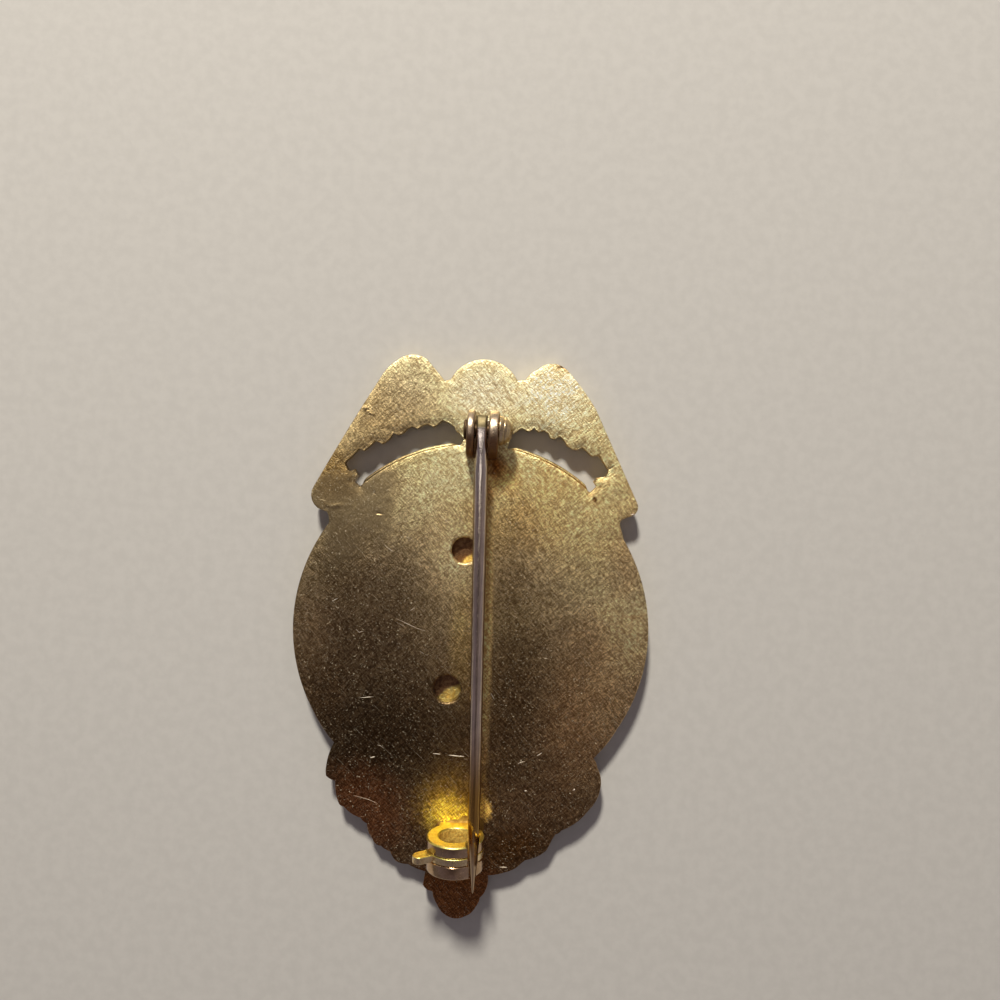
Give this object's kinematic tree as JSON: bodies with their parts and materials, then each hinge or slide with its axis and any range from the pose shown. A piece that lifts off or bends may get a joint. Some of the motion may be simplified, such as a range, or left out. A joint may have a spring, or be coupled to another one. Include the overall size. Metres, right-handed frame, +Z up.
{
  "type": "security badge",
  "caption": "Gilt breast badge with spread wings and a round body, lying face down, with a hinged brooch pin and a locking catch on its back.",
  "frame": {"origin": "middle of the badge's outline, on the surface it lies on", "axes": "+Z up out of the badge's back, +Y from its foot to its wings, +X to the right as the back is seen with the wings up"},
  "size_m": [0.0442, 0.0706, 0.0094],
  "materials": {
    "aged_gilt": "satin gilt, tarnished and lightly scratched",
    "seal_gilt": "bright gilt",
    "pin_metal": "polished, thinly gilt",
    "catch_gilt": "polished gilt"
  },
  "bodies": {
    "badge": {"badge_plate": "aged_gilt", "centre_seal": "seal_gilt", "hinge_rivet": "pin_metal"},
    "pin": {"pin": "pin_metal"},
    "rotor": {"catch_rotor": "catch_gilt"}
  },
  "joints": [
    {"name": "pin_hinge", "type": "hinge", "parent": "badge", "child": "pin", "pos_m": [0.00012, 0.026, 0.0051], "axis": [-1, 0, 0], "range_deg": [0, 105]},
    {"name": "rotor_turn", "type": "hinge", "parent": "badge", "child": "rotor", "pos_m": [-0.00035, -0.02485, 0.0059], "axis": [-0.034, 0.9994, 0], "range_deg": [0, 90]}
  ]
}
